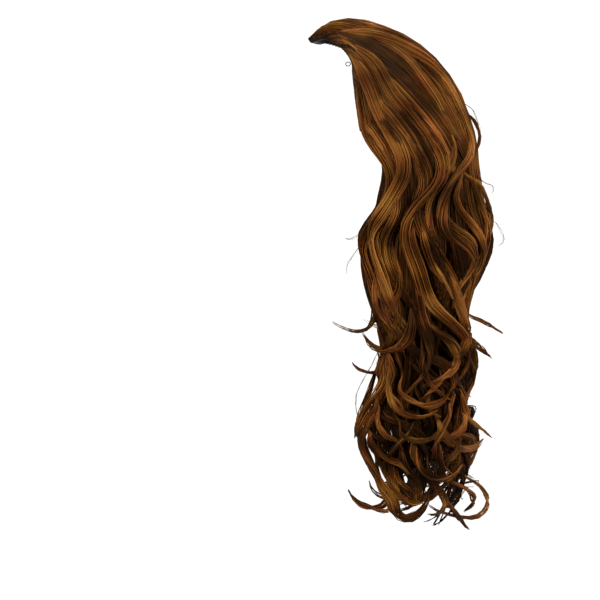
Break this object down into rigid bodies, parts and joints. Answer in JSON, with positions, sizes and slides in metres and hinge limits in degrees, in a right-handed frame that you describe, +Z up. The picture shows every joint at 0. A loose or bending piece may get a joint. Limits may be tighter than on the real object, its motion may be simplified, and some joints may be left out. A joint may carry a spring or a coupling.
{
  "type": "half wig",
  "caption": "Half wig of long wavy copper-brown hair on a half cap with a front band and comb, worn over the back of the head.",
  "frame": {"origin": "where the top of the wearer's head meets the inside of the cap", "axes": "+Z up, +X to the wearer's left, and the wearer faces -Y"},
  "size_m": [0.2036, 0.2105, 0.5767],
  "materials": {
    "hair": "glossy synthetic hair fibre, copper brown with lighter and darker strands",
    "cap": "matt dark brown stretch net",
    "band": "matt dark brown woven band",
    "comb": "dark brown moulded plastic"
  },
  "bodies": {
    "root": {"cap": "cap", "front_band": "band", "temple_loop": "band", "front_comb": "comb", "crown_hair": "hair", "fall_left": "hair", "fall_back": "hair", "fall_right": "hair"}
  },
  "joints": []
}
